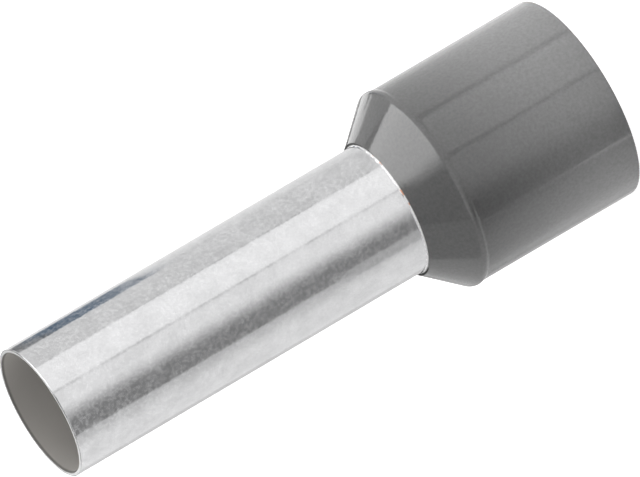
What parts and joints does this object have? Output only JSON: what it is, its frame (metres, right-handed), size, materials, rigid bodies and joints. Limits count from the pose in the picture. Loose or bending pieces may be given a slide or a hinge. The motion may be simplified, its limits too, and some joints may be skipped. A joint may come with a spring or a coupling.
{
  "type": "wire ferrule",
  "caption": "Insulated bootlace ferrule: a thin tin-plated copper sleeve flared into a grey plastic collar with a cone-shaped shoulder and a wide wire entry.",
  "frame": {"origin": "centre of the collar's open end, on the axis, at the level the ferrule stands on", "axes": "+Z along the ferrule's axis, from the collar's open end (wire entry) to the free end of the metal sleeve; the part is round, so X and Y are free"},
  "size_m": [0.0096, 0.0096, 0.028],
  "materials": {
    "tinned_copper": "tin plating on drawn copper, satin bright, slightly mottled",
    "grey_collar_plastic": "injection moulded, satin grey, halogen-free polypropylene"
  },
  "bodies": {
    "root": {"metal_sleeve": "tinned_copper", "insulating_collar": "grey_collar_plastic"}
  },
  "joints": []
}
